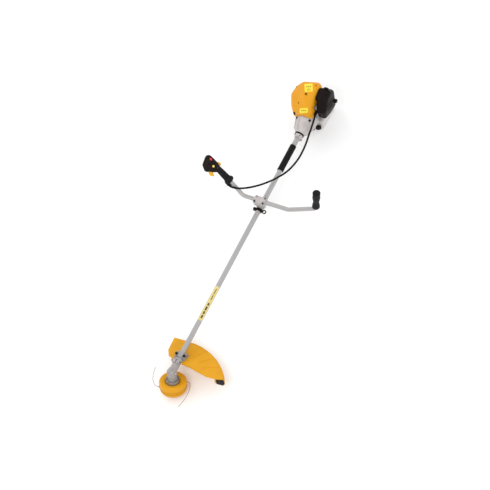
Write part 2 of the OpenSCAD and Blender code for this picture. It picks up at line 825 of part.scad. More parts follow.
module carburettor() {
    color([0.7, 0.7, 0.7]) difference() {
        union() {
            at_shaft(cyl_x - 30, -60, 38) cube([42, 22, 36]);
            at_shaft(cyl_x, -38.5, 60) rotate([-90, 0, 0]) cylinder(r = 9, h = 11.5);
        }
        at_shaft(cyl_x, -70, 60) rotate([-90, 0, 0]) cylinder(r = 6, h = 60);
        at_shaft(cyl_x - 16, -64, 44) rotate([-90, 0, 0]) cylinder(r = 2.5 + run, h = 12);
        at_shaft(cyl_x - 2, -50, 30) cylinder(r = 9.5, h = 14);
    }
}

module choke_lever() {
    color([0.12, 0.12, 0.12]) {
        at_shaft(cyl_x - 16, -62.5, 44) rotate([-90, 0, 0]) cylinder(r = 2.5, h = 10);
        at_shaft(cyl_x - 16, -62.5, 44) rotate([-90, 0, 0]) linear_extrude(2)
            polygon([[-4, -3], [3, -4], [-2, 12], [-12, 40], [-19, 38], [-10, 12]]);
    }
}

module primer_bulb() {
    color([0.8, 0.5, 0.4]) at_shaft(cyl_x - 2, -50, 26)
        turned(concat([[0, 0]], arc([3, 6], 6, -90, 0), [[9, 12], [0, 12]]));
}

module air_filter() {
    color([0.25, 0.25, 0.27]) difference() {
        at_shaft(0, -72, 0) rotate([90, 0, 0]) linear_extrude(24)
            polygon([for (s = cleaner_rounds) [s[0], s[2]]]);
        at_shaft(cyl_x, -84, 60) rotate([-90, 0, 0]) cylinder(r = 12, h = 20);
    }
}

module cleaner_blob(inset) {
    hull() for (s = cleaner_rounds) at_shaft(s[0], 0, s[2]) {
        translate([0, s[1], 0]) sphere(r = s[3] - inset, $fn = 32);
        translate([0, -84, 0]) rotate([-90, 0, 0]) cylinder(r = s[3] - inset, h = 84 + s[4] + inset, $fn = 32);
    }
}

module air_cleaner_cover() {
    color([0.12, 0.11, 0.11]) difference() {
        cleaner_blob(0);
        cleaner_blob(cover_wall);
        at_shaft(1662, -100, 44) rotate([90, 0, 0]) cylinder(r = 4 + run, h = 30);
    }
}

module air_cleaner_knob() {
    color([0.1, 0.1, 0.1]) at_shaft(1662, -100, 44) rotate([90, 0, 0]) {
        cylinder(r = 4, h = 9);
        difference() {
            translate([0, 0, 8.6]) cylinder(r = 11, h = 10);
            for (i = [0:7]) rotate([0, 0, i * 45]) translate([12, 0, 6]) cylinder(r = 2.5, h = 13);
        }
    }
}

// --- fuel tank ---

module tank_blob(inset) {
    hull() for (x = [1587, 1701], y = [-1, 1]) {
        at_shaft(x, y * (tank_w / 2 - 14), tank_top - 14) sphere(r = 14 - inset, $fn = 32);
        at_shaft(x, y * (tank_w / 2 - 34), tank_top - 18) cylinder(r = 12 - inset, h = 18 - inset, $fn = 32);
        at_shaft(x, y * (tank_w / 2 - 34), -shaft_height + inset)
            cylinder(r = 18 - inset, h = 20, $fn = 32);
    }
}

// Filler neck's frame: its Z points out of the neck
module at_filler(d) {
    at_shaft(1582, -19, -88) rotate([0, 90, 210]) translate([0, 0, d]) children();
}

module fuel_tank() {
    color([0.87, 0.83, 0.83]) difference() {
        union() {
            difference() {
                tank_blob(0);
                tank_blob(3);
            }
            at_filler(0) cylinder(r = 11, h = 31);
        }
        at_filler(-12) cylinder(r = 8.5, h = 50);
    }
}

module fuel_cap() {
    color([0.1, 0.1, 0.1]) at_filler(23.5) difference() {
        union() {
            cylinder(r = 14, h = 13);
            for (i = [0:11]) rotate([0, 0, i * 30]) translate([13.7, 0, 0]) cylinder(r = 1.4, h = 13);
        }
        translate([0, 0, -1]) cylinder(r = 11 + run, h = 9);
    }
}

// --- recoil starter ---

module recoil_housing() {
    color([0.15, 0.15, 0.15]) difference() {
        along_x() turned([
            [0, recoil_x], [50, recoil_x], [52, recoil_x + 4], [52, recoil_x + 30], [44, recoil_x + 48],
            [0, recoil_x + 52]
        ]);
        along_x() turned([
            [0, recoil_x - 1], [47, recoil_x - 1], [49, recoil_x + 6], [49, recoil_x + 29],
            [42, recoil_x + 45], [0, recoil_x + 48]
        ]);
        at_shaft(recoil_x + 20, 30, -25) rotate([-90, 0, 0]) cylinder(r = 3.5, h = 40);
        for (i = [0:7]) along_x(recoil_x + 44) rotate([0, 0, i * 45]) translate([16, -2, 0]) cube([20, 4, 10]);
    }
    color([0.15, 0.15, 0.15]) along_x(recoil_x + 17) cylinder(r = 6, h = 31.5);
}

module recoil_pulley() {
    color("gainsboro") along_x(recoil_x + 14) difference() {
        turned([[6 + run, 15], [29, 15], [29, 10], [23.3, 8.5], [23.3, 3.5], [29, 2], [29, 0], [0, 0],
            [0, 2], [6 + run, 2]]);
        for (a = [0:120:240]) rotate([0, 0, a]) translate([14, 0, -1]) cylinder(r = 4, h = 20);
    }
}

module starter_handle() {
    color([0.1, 0.1, 0.1]) at_shaft(recoil_x + 20, 0, -25) {
        rotate([-90, 0, 0]) cylinder(r = 1.5, h = 62);
        translate([0, 56, 0]) rotate([-90, 0, 0])
            turned(concat([[0, 0], [5, 0], [6, 6]], arc([5, 15], 8, -60, 90), [[0, 23]]));
        translate([-20, 71, 0]) rotate([0, 90, 0]) cylinder(r = 8.4, h = 40);
    }
}

shaft_tube();
shaft_bushings();
drive_shaft();
foam_sleeve();
gear_case();
input_pinion();
output_gear();
gearbox_bearings();
output_spindle();
drive_flange();
head_housing();
head_cover();
spool();
wound_line();
head_spring();
bump_knob();
line_eyelets();
line_a();
line_b();
guard_shell();
guard_bracket();
clamp_bolts();
small_screws();
line_cutter();
handlebar();
clamp_base();
clamp_cap();
harness_collar();
left_grip();
throttle_grip();
throttle_housing_front();
throttle_housing_rear();
throttle_trigger();
throttle_lockout();
stop_switch();
start_lock_button();
throttle_cable();
clutch_housing();
damper_ring();
clutch_drum();
clutch_shoes();
crankshaft();
flywheel();
crankcase();
cylinder_block();
piston();
spark_plug();
top_cover();
muffler();
carburettor();
choke_lever();
primer_bulb();
air_filter();
air_cleaner_cover();
air_cleaner_knob();
fuel_tank();
fuel_cap();
recoil_housing();
recoil_pulley();
starter_handle();
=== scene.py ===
"""Looks for the petrol string trimmer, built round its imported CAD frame."""

import math

import bmesh
import bpy
from mathutils import Matrix, Vector
from mathutils.bvhtree import BVHTree


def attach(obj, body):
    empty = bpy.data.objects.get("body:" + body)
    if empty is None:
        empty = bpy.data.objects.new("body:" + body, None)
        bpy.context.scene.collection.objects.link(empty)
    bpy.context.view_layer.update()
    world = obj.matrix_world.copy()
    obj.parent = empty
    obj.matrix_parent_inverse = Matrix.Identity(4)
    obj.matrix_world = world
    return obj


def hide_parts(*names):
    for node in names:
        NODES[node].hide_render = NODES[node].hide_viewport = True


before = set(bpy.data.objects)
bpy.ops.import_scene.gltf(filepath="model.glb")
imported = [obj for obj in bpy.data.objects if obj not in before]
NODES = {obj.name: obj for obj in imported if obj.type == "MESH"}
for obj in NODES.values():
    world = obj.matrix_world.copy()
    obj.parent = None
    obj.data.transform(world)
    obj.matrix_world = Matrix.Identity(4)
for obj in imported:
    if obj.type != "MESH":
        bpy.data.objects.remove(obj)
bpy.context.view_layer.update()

MM = 0.001
APEX = Vector((-0.813, 0.042, 0.128))
TILT = math.radians(22)
ALONG = Vector((1, 0, 0))
SIDE = Vector((0, 1, 0))
UP = Vector((0, 0, 1))
DOWN = -UP
SPINDLE = Matrix(
    (
        (math.cos(TILT), 0, math.sin(TILT)),
        (0, 1, 0),
        (-math.sin(TILT), 0, math.cos(TILT)),
    )
)

# --- camera ---

cam = bpy.data.objects.new("camera", bpy.data.cameras.new("camera"))
bpy.context.collection.objects.link(cam)
cam_right = Vector((0.4406, -0.8665, -0.2345)).normalized()
cam_back = Vector((-0.3584, -0.4092, 0.8391)).normalized()
cam_up = cam_back.cross(cam_right).normalized()
cam_right = cam_up.cross(cam_back)
CAMERA_PLACE = (-3.598, -4.030, 8.430)
cam.matrix_world = Matrix.Translation(CAMERA_PLACE) @ Matrix(
    (
        (cam_right.x, cam_up.x, cam_back.x, 0),
        (cam_right.y, cam_up.y, cam_back.y, 0),
        (cam_right.z, cam_up.z, cam_back.z, 0),
        (0, 0, 0, 1),
    )
)
cam.data.sensor_width = 36
cam.data.lens = 145.5
cam.data.clip_end = 60
bpy.context.scene.camera = cam


def at_apex(x, y, z):
    """A point given in millimetres from the crossing of the shaft and the head's axis."""
    return APEX + Vector((x, y, z)) * MM


def at_spindle(u, w, n):
    """A point given in millimetres in the tilted head's frame."""
    return APEX + SPINDLE @ (Vector((u, w, n)) * MM)


# --- materials ---


def surface(
    name,
    low,
    high,
    rough,
    metal=0.0,
    *,
    patch,
    grain=900.0,
    bump=0.12,
    depth=0.0002,
    stretch=(1, 1, 1),
    coat=0.0,
    clear=0.0,
    sheen=0.0,
    shine=0.5,
):
    """A surface whose colour drifts from low to high, with a fine grain in its gloss and relief."""
    m = bpy.data.materials.new(name)
    m.use_nodes = True
    n, link = m.node_tree.nodes, m.node_tree.links.new
    n.clear()
    out = n.new("ShaderNodeOutputMaterial")
    shader = n.new("ShaderNodeBsdfPrincipled")
    where = n.new("ShaderNodeTexCoord")
    place = n.new("ShaderNodeMapping")
    place.inputs["Scale"].default_value = stretch
    broad = n.new("ShaderNodeTexNoise")
    broad.inputs["Scale"].default_value = patch
    broad.inputs["Detail"].default_value = 6
    broad.inputs["Roughness"].default_value = 0.6
    fine = n.new("ShaderNodeTexNoise")
    fine.inputs["Scale"].default_value = grain
    fine.inputs["Detail"].default_value = 3
    ramp = n.new("ShaderNodeValToRGB")
    ramp.color_ramp.elements[0].position = 0.3
    ramp.color_ramp.elements[0].color = (*low, 1)
    ramp.color_ramp.elements[1].position = 0.7
    ramp.color_ramp.elements[1].color = (*high, 1)
    gloss = n.new("ShaderNodeMapRange")
    gloss.inputs["From Min"].default_value = 0.3
    gloss.inputs["From Max"].default_value = 0.7
    gloss.inputs["To Min"].default_value = rough[0]
    gloss.inputs["To Max"].default_value = rough[1]
    relief = n.new("ShaderNodeBump")
    relief.inputs["Strength"].default_value = bump
    relief.inputs["Distance"].default_value = depth
    link(where.outputs["Object"], place.inputs["Vector"])
    link(place.outputs["Vector"], broad.inputs["Vector"])
    link(place.outputs["Vector"], fine.inputs["Vector"])
    link(broad.outputs["Fac"], ramp.inputs["Fac"])
    link(ramp.outputs["Color"], shader.inputs["Base Color"])
    link(fine.outputs["Fac"], gloss.inputs["Value"])
    link(gloss.outputs["Result"], shader.inputs["Roughness"])
    link(fine.outputs["Fac"], relief.inputs["Height"])
    link(relief.outputs["Normal"], shader.inputs["Normal"])
    link(shader.outputs["BSDF"], out.inputs["Surface"])
    shader.inputs["Metallic"].default_value = metal
    shader.inputs["Coat Weight"].default_value = coat
    shader.inputs["Coat Roughness"].default_value = 0.12
    shader.inputs["Transmission Weight"].default_value = clear
    shader.inputs["Sheen Weight"].default_value = sheen
    shader.inputs["Specular IOR Level"].default_value = shine
    return m


def grey(v):
    """A neutral colour."""
    return (v, v, v)


SILVER = surface(
    "silver_paint", (0.33, 0.322, 0.322), (0.41, 0.40, 0.398), (0.30, 0.44), 0.25, patch=9,
    grain=700, stretch=(0.12, 1, 1), coat=0.25,
)
BAR = surface(
    "bar_paint", (0.33, 0.322, 0.322), (0.41, 0.40, 0.396), (0.28, 0.42), 0.25, patch=12, grain=700,
    stretch=(1, 0.12, 0.3), coat=0.25,
)
CAST = surface(
    "die_casting", (0.27, 0.255, 0.25), (0.40, 0.38, 0.375), (0.40, 0.58), 0.35, patch=45,
    grain=1500, bump=0.35, depth=0.0004,
)
CLUTCH_CAST = surface(
    "painted_casting", (0.43, 0.395, 0.385), (0.55, 0.515, 0.505), (0.38, 0.54), 0.15, patch=40,
    grain=1400, bump=0.3, depth=0.0004,
)
STEEL = surface("turned_steel", grey(0.42), grey(0.58), (0.18, 0.34), 1.0, patch=60, grain=2500)
GEAR = surface("oiled_steel", grey(0.22), grey(0.36), (0.15, 0.30), 1.0, patch=70, grain=2200)
BRIGHT = surface(
    "bright_alloy", (0.33, 0.33, 0.32), (0.44, 0.44, 0.42), (0.36, 0.52), 0.5, patch=50, grain=1800,
)
BLACK_STEEL = surface(
    "black_oxide", grey(0.010), grey(0.028), (0.38, 0.55), 0.3, patch=90, grain=2000, shine=0.22,
)
BUSH = surface("bushing", grey(0.06), grey(0.10), (0.5, 0.65), patch=60)
FOAM = surface(
    "foam", grey(0.004), grey(0.013), (0.86, 0.97), patch=160, grain=2600, bump=0.9, depth=0.0007,
    sheen=0.08, shine=0.12,
)
YELLOW = surface(
    "yellow_plastic", (0.63, 0.285, 0.002), (0.71, 0.335, 0.004), (0.34, 0.46), patch=14,
    grain=1100, bump=0.10, coat=0.06, shine=0.22,
)
COVER = surface(
    "cover_plastic", (0.66, 0.28, 0.002), (0.74, 0.325, 0.005), (0.26, 0.38), patch=12, grain=1000,
    bump=0.08, coat=0.10, shine=0.25,
)
BLACK = surface(
    "black_plastic", (0.004, 0.003, 0.003), (0.010, 0.007, 0.007), (0.36, 0.52), patch=50,
    grain=1800, bump=0.35, depth=0.0003, shine=0.08,
)
CLEANER = surface(
    "cleaner_plastic", (0.005, 0.002, 0.002), (0.011, 0.006, 0.006), (0.26, 0.38), patch=40,
    grain=1500, bump=0.2, depth=0.0003, coat=0.03, shine=0.08,
)
HOUSING = surface(
    "housing_plastic", (0.008, 0.004, 0.004), (0.016, 0.010, 0.010), (0.40, 0.56), patch=60,
    grain=1900, bump=0.4, depth=0.0003, shine=0.10,
)
TRIGGER = surface(
    "trigger_plastic", (0.72, 0.36, 0.008), (0.82, 0.43, 0.014), (0.28, 0.42), patch=60, grain=1500,
)
GRIP = surface(
    "grip_rubber", grey(0.004), grey(0.012), (0.60, 0.80), patch=70, grain=1600, bump=0.6,
    depth=0.0005, sheen=0.03, shine=0.16,
)
# Painted shade: a darker amber that stands in for the shade inside the head's grooves; it is not a colour
# of the plastic.
PAINTED_GROOVE_SHADE = surface(
    "painted_groove_shade", (0.34, 0.12, 0.001), (0.44, 0.17, 0.002), (0.40, 0.55), patch=20, grain=1100,
    shine=0.15,
)
RED = surface(
    "red_plastic", (0.50, 0.020, 0.012), (0.62, 0.035, 0.022), (0.26, 0.40), patch=120, grain=1600,
)
CREAM = surface(
    "cream_plastic", (0.72, 0.48, 0.09), (0.82, 0.58, 0.14), (0.30, 0.44), patch=120, grain=1600,
)
NYLON = surface("nylon", (0.11, 0.11, 0.10), (0.17, 0.17, 0.155), (0.30, 0.42), patch=90, grain=1600)
SHEATH = surface(
    "cable_sheath", grey(0.004), grey(0.010), (0.52, 0.66), patch=30, grain=600, bump=0.05,
    shine=0.16,
)
TANK = surface(
    "tank_plastic", (0.60, 0.56, 0.55), (0.72, 0.68, 0.67), (0.34, 0.48), patch=14, grain=900,
    clear=0.05,
)
MUFFLER = surface(
    "hot_steel", (0.09, 0.075, 0.065), (0.20, 0.185, 0.175), (0.36, 0.60), 0.9, patch=40,
    grain=1400,
)
CERAMIC = surface(
    "ceramic", (0.72, 0.71, 0.67), (0.80, 0.79, 0.76), (0.12, 0.22), patch=90, grain=1200, coat=0.4,
)
FELT = surface(
    "felt", (0.03, 0.03, 0.034), (0.06, 0.06, 0.066), (0.85, 0.97), patch=200, grain=2600, bump=0.9,
    depth=0.0008,
)
PRIMER = surface(
    "primer_bulb", (0.38, 0.07, 0.03), (0.50, 0.11, 0.05), (0.18, 0.30), patch=80, grain=1200,
    clear=0.4,
)
LABEL = surface(
    "label_film", (0.80, 0.62, 0.012), (0.88, 0.70, 0.03), (0.20, 0.32), patch=60, grain=1100,
    coat=0.4,
)
SHAFT_LABEL = surface(
    "shaft_label_film", (0.62, 0.50, 0.16), (0.72, 0.60, 0.22), (0.24, 0.36), patch=60, grain=1100,
    coat=0.3,
)
INK = surface("label_ink", (0.05, 0.035, 0.01), (0.09, 0.06, 0.02), (0.30, 0.44), patch=120, grain=1400)

PAINT = {
    SILVER: ["shaft_tube"],
    BAR: ["handlebar"],
    CAST: [
        "gear_case",
        "guard_bracket",
        "flywheel",
        "crankcase",
        "cylinder_block",
    ],
    CLUTCH_CAST: ["clamp_base", "clamp_cap", "clutch_housing"],
    STEEL: ["drive_shaft", "output_spindle", "crankshaft", "head_spring"],
    GEAR: ["input_pinion", "output_gear", "gearbox_bearings", "clutch_drum", "clutch_shoes"],
    BRIGHT: ["drive_flange", "line_eyelets", "piston", "carburettor"],
    BLACK_STEEL: ["clamp_bolts", "line_cutter", "small_screws"],
    BUSH: ["shaft_bushings"],
    FOAM: ["foam_sleeve"],
    YELLOW: ["head_housing", "head_cover", "bump_knob", "guard_shell"],
    COVER: ["top_cover"],
    BLACK: [
        "spool",
        "harness_collar",
        "damper_ring",
        "choke_lever",
        "air_cleaner_cover",
        "air_cleaner_knob",
        "fuel_cap",
        "recoil_housing",
        "recoil_pulley",
        "starter_handle",
    ],
    HOUSING: ["throttle_housing_front", "throttle_housing_rear"],
    TRIGGER: ["throttle_trigger", "throttle_lockout"],
    GRIP: ["left_grip", "throttle_grip"],
    RED: ["stop_switch"],
    CREAM: ["start_lock_button"],
    NYLON: ["wound_line"],
    TANK: ["fuel_tank"],
    MUFFLER: ["muffler"],
    CERAMIC: ["spark_plug"],
    FELT: ["air_filter"],
    PRIMER: ["primer_bulb"],
}
for material, names in PAINT.items():
    for name in names:
        for holder in NODES[name].material_slots:
            holder.material = material

# --- cords ---


def cord_curve(name, points, diameter, material):
    """A smooth round cord through some points."""
    curve = bpy.data.curves.new(name, "CURVE")
    curve.dimensions = "3D"
    curve.bevel_depth = diameter / 2
    curve.bevel_resolution = 6
    curve.resolution_u = 8
    curve.use_fill_caps = True
    spline = curve.splines.new("BEZIER")
    spline.bezier_points.add(len(points) - 1)
    for p, co in zip(spline.bezier_points, points):
        p.co = co
        p.handle_left_type = p.handle_right_type = "AUTO"
    obj = bpy.data.objects.new(name, curve)
    bpy.context.collection.objects.link(obj)
    curve.materials.append(material)
    return obj


# Throttle cable, in millimetres from the ground's origin; nylon lines, in the head's frame
CABLE = [
    (185, 207, 249), (184, 200, 237), (184, 192, 228), (187, 177, 221), (196, 155, 214),
    (209, 133, 207), (225, 111, 201), (244, 89, 195), (264, 68, 190), (287, 47, 186),
    (311, 27, 182), (337, 9, 179), (365, -8, 176), (395, -21, 173), (427, -30, 171),
    (459, -36, 170), (492, -39, 170), (525, -39, 171), (558, -37, 172), (591, -33, 174),
    (624, -28, 176), (657, -24, 177), (687, -19, 178), (715, -14, 179), (740, -8, 180),
    (757, -8, 180),
]
LINE_A = [
    (-41, 47), (-46, 54), (-48, 63), (-46, 73), (-39, 84), (-29, 95), (-17, 106), (-3, 115),
    (12, 123), (28, 130), (46, 136), (65, 141),
]
LINE_B = [
    (41, -47), (46, -54), (46, -63), (40, -71), (30, -78), (17, -85), (2, -91), (-15, -96),
    (-33, -100), (-53, -103), (-75, -105), (-98, -105), (-121, -104),
]
LINE_LEVEL = -80
CABLE_D = 0.010
LINE_D = 0.0024
cable_route = [Vector(p) * MM for p in CABLE]
cable = cord_curve("throttle_cable_sheath", cable_route, CABLE_D, SHEATH)
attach(cable, "chassis")
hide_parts("throttle_cable")
for name, node, plan in (("nylon_line_a", "line_a", LINE_A), ("nylon_line_b", "line_b", LINE_B)):
    route = [at_spindle(u, w, LINE_LEVEL) for u, w in plan]
    strand = cord_curve(name, route, LINE_D, NYLON)
    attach(strand, "head")
    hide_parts(node)

# --- shaping ---


def keep(obj, material, body, sharp=40):
    """Finishes a piece: its material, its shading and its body."""
    mesh = obj.data
    mesh.materials.clear()
    mesh.materials.append(material)
    mesh.shade_smooth()
    mesh.set_sharp_from_angle(angle=math.radians(sharp))
    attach(obj, body)
    return obj


def mesh_object(name, bm):
    """An object made of a finished mesh, its faces turned outward."""
    bmesh.ops.recalc_face_normals(bm, faces=bm.faces)
    mesh = bpy.data.meshes.new(name)
    bm.to_mesh(mesh)
    bm.free()
    obj = bpy.data.objects.new(name, mesh)
    bpy.context.collection.objects.link(obj)
    return obj


def settle(obj):
    """Turns an object's modifiers into its mesh."""
    graph = bpy.context.evaluated_depsgraph_get()
    mesh = bpy.data.meshes.new_from_object(obj.evaluated_get(graph))
    obj.modifiers.clear()
    obj.data = mesh
    return obj


def facing(place, out, turn=0.0):
    """A frame at place, in metres, whose Z points along out."""
    aim = Vector(out).to_track_quat("Z", "Y").to_matrix().to_4x4()
    return Matrix.Translation(place) @ aim @ Matrix.Rotation(turn, 4, "Z")


def add_ring(bm, profile, frame_at, steps):
    """Adds a closed profile of (radius, height) in millimetres, turned round a frame's Z."""
    angles = [2 * math.pi * k / steps for k in range(steps)]
    rows = [
        [bm.verts.new(frame_at @ (Vector((r * math.cos(a), r * math.sin(a), h)) * MM)) for a in angles]
        for r, h in profile
    ]
    for i in range(len(rows)):
        a, b = rows[i], rows[(i + 1) % len(rows)]
        for k in range(steps):
            bm.faces.new((a[k], a[(k + 1) % steps], b[(k + 1) % steps], b[k]))


def add_slab(bm, outline, low, high, frame_at, edge=0.6):
    """Adds a flat outline, in millimetres, between two heights of a frame, its upper edge bevelled."""
    n = len(outline)
    middle = Vector((sum(p[0] for p in outline) / n, sum(p[1] for p in outline) / n, 0))

    def row(h, inset):
        """The outline at one height, drawn in towards its middle."""
        made = []
        for p in outline:
            q = Vector((p[0], p[1], 0))
            q = q - (q - middle).normalized() * inset
            made.append(bm.verts.new(frame_at @ (Vector((q.x, q.y, h)) * MM)))
        return made

    rows = [row(low, 0), row(high - edge, 0), row(high, edge)]
    for a, b in zip(rows, rows[1:]):
        for k in range(n):
            bm.faces.new((a[k], a[(k + 1) % n], b[(k + 1) % n], b[k]))
    bm.faces.new(list(reversed(rows[0])))
    bm.faces.new(rows[-1])


def rounded(w, h, r, steps=5):
    """Outline of a rounded rectangle about the origin."""
    made = []
    x, y = w / 2 - r, h / 2 - r
    for cx, cy, a0 in ((x, y, 0), (-x, y, 90), (-x, -y, 180), (x, -y, 270)):
        for i in range(steps + 1):
            a = math.radians(a0 + 90 * i / steps)
            made.append((cx + r * math.cos(a), cy + r * math.sin(a)))
    return made


BALL_STEPS = 28
WALL = 0.003

# Profile of a domed cap screw: radius and height
SCREW_STEPS = 20
SCREW = [(0.01, 0.8), (1.6, 0.8), (2.0, 2.6), (3.4, 2.3), (4.0, 1.4), (4.0, -1.5), (0.01, -1.5)]


def screws(name, places, material, size=1.0):
    """Domed cap screws, each (place, out), sharing one piece."""
    bm = bmesh.new()
    for place, out in places:
        add_ring(bm, [(r * size, h * size) for r, h in SCREW], facing(place, out), SCREW_STEPS)
    keep(mesh_object(name, bm), material, "chassis")


def ball(x, y, z, r):
    """Points on a sphere; its centre and radius in millimetres from the apex."""
    made = []
    for i in range(BALL_STEPS // 2 + 1):
        down = math.pi * i / (BALL_STEPS // 2)
        for k in range(BALL_STEPS):
            turn = 2 * math.pi * k / BALL_STEPS
            made.append(at_apex(
                x + r * math.sin(down) * math.cos(turn),
                y + r * math.sin(down) * math.sin(turn),
                z + r * math.cos(down),
            ))
    return made


def softened(name, points, voxel, rounds, swell):
    """The hull of some points with its creases rounded, then swollen by some metres."""
    bm = bmesh.new()
    for p in points:
        bm.verts.new(p)
    bmesh.ops.convex_hull(bm, input=bm.verts)
    bmesh.ops.delete(bm, geom=[v for v in bm.verts if not v.link_faces], context="VERTS")
    obj = mesh_object(name, bm)
    remesh = obj.modifiers.new("even", "REMESH")
    remesh.mode = "VOXEL"
    remesh.voxel_size = voxel
    relax = obj.modifiers.new("round", "SMOOTH")
    relax.factor = 0.5
    relax.iterations = rounds
    settle(obj)
    for v, n in [(v, v.normal.copy()) for v in obj.data.vertices]:
        v.co += n * swell
    return obj


def shrunk(obj):
    """A copy of an object whose surface lies one wall's thickness inside it."""
    inner = bpy.data.objects.new("inner", obj.data.copy())
    bpy.context.collection.objects.link(inner)
    for v, n in [(v, v.normal.copy()) for v in inner.data.vertices]:
        v.co -= n * WALL
    return inner


def box_cutter(x, y, z, sx, sy, sz):
    """A box to cut with, from its low corner and its sides in millimetres."""
    bm = bmesh.new()
    middle = Matrix.Translation(at_apex(x + sx / 2, y + sy / 2, z + sz / 2))
    bmesh.ops.create_cube(bm, size=1, matrix=middle @ Matrix.Diagonal((sx * MM, sy * MM, sz * MM, 1)))
    return mesh_object("cutter", bm)


def round_cutter(place, out, r, length):
    """A drill to cut with, from its start, its direction, and its radius and length in millimetres."""
    bm = bmesh.new()
    angles = [math.radians(7.5 * k) for k in range(48)]
    add_slab(bm, [(r * math.cos(a), r * math.sin(a)) for a in angles], 0, length, facing(place, out), 0.01)
    return mesh_object("cutter", bm)


def carved(obj, cutters):
    """Cuts each cutter out of an object, then removes the cutters."""
    for c in cutters:
        cut = obj.modifiers.new("cut", "BOOLEAN")
        cut.object = c
        cut.operation = "DIFFERENCE"
        cut.solver = "EXACT"
    settle(obj)
    for c in cutters:
        bpy.data.objects.remove(c)
    return obj


def surface_of(obj):
    """An object's mesh as a tree that rays can be cast at."""
    bm = bmesh.new()
    bm.from_mesh(obj.data)
    tree = BVHTree.FromBMesh(bm)
    bm.free()
    return tree


def draped(
    name, tree, centre, across, along, down, size, lift, material, cells=(14, 14),
    corner=1.5,
):
    """A thin plate, size in millimetres, laid on a surface by following down from its centre."""
    across, along, down = (Vector(v).normalized() for v in (across, along, down))
    bm = bmesh.new()
    top, bottom = [], []
    for j in range(cells[1] + 1):
        for i in range(cells[0] + 1):
            u = (i / cells[0] - 0.5) * size[0]
            w = (j / cells[1] - 0.5) * size[1]
            spare = corner * (abs(w) / (size[1] / 2)) ** 8
            u = max(-size[0] / 2 + spare, min(size[0] / 2 - spare, u))
            start = centre + (across * u + along * w) * MM - down * 0.05
            hit, normal = tree.ray_cast(start, down)[:2]
            if hit is None:
                hit, normal = tree.find_nearest(start)[:2]
            if normal.dot(down) > 0:
                normal = -normal
            edge = min(i, j, cells[0] - i, cells[1] - j) == 0
            top.append(bm.verts.new(hit + normal * (lift * (0.4 if edge else 1.0)) * MM))
            bottom.append(bm.verts.new(hit - normal * 0.5 * MM))
    row = cells[0] + 1
    for j in range(cells[1]):
        for i in range(cells[0]):
            k = j * row + i
            bm.faces.new((top[k], top[k + 1], top[k + row + 1], top[k + row]))
            bm.faces.new((bottom[k], bottom[k + row], bottom[k + row + 1], bottom[k + 1]))
    rim = list(range(row)) + [j * row + cells[0] for j in range(1, cells[1] + 1)]
    rim += [cells[1] * row + i for i in range(cells[0] - 1, -1, -1)]
    rim += [j * row for j in range(cells[1] - 1, 0, -1)]
    for a, b in zip(rim, rim[1:] + rim[:1]):
        bm.faces.new((top[a], top[b], bottom[b], bottom[a]))
    keep(mesh_object(name, bm), material, "chassis")


# --- engine covers ---

# Balls whose hull is the engine cover: X, Y, Z and radius
COVER_ROUNDS = [
    (1542, -18, 36, 26), (1542, 48, 36, 26), (1556, -8, 84, 28), (1570, 60, 62, 32),
    (1612, 76, 76, 34), (1640, 66, 92, 31), (1656, 48, 106, 28), (1668, -14, 110, 28),
    (1660, -12, 42, 26), (1660, 58, 40, 26),
]
cover = softened(
    "engine_cover", [p for c in COVER_ROUNDS for p in ball(*c[:4])], voxel=0.004, rounds=12,
    swell=0.0012,
)
cuts = [
    shrunk(cover),
    box_cutter(1400, -200, -100, 400, 400, 122),
    round_cutter(at_apex(1500, 0, 0), ALONG, 57.5, 60.5),
    round_cutter(at_apex(1649, 0, 0), ALONG, 54.5, 60),
    box_cutter(1566, -60, 20, 63, 33.2, 62),
    box_cutter(1500, 45, 50, 30, 20, 8),
    round_cutter(at_apex(1608, 14, 100), UP, 4, 60),
]
cuts += [box_cutter(1582 + 11 * i, 90, 50, 5.5, 40, 34) for i in range(6)]
cuts += [box_cutter(1670, -4 + 12 * i, 84, 40, 5.5, 30) for i in range(5)]
carved(cover, cuts)
keep(cover, COVER, "chassis", 50)
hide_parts("top_cover")
skin = surface_of(cover)

# Balls whose hull is the air cleaner cover: X, Y, Z, radius and the Y of its open edge
CLEANER_ROUNDS = [
    (1572, -88, 26, 14, -64), (1574, -90, 66, 16, -63), (1616, -88, 112, 18, -52),
    (1650, -90, 122, 18, -52), (1672, -92, 98, 16, -56), (1654, -90, 18, 18, -66),
    (1612, -88, 10, 14, -66),
]
rim_turns = [math.radians(11.25 * k) for k in range(32)]
rim_points = [
    at_apex(x + r * math.cos(a), y_end + 4, z + r * math.sin(a))
    for x, y, z, r, y_end in CLEANER_ROUNDS
    for a in rim_turns
]
cleaner = softened(
    "cleaner_cover", [p for c in CLEANER_ROUNDS for p in ball(*c[:4])] + rim_points, voxel=0.0032,
    rounds=9, swell=0.0009,
)
cuts = [
    shrunk(cleaner),
    round_cutter(at_apex(1662, -95, 44), -SIDE, 4.2, 30),
    box_cutter(1540, -52.6, -20, 170, 40, 190),
]
carved(cleaner, cuts)
keep(cleaner, CLEANER, "chassis", 50)
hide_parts("air_cleaner_cover")
cleaner_skin = surface_of(cleaner)

# --- labels and small fittings on the engine ---

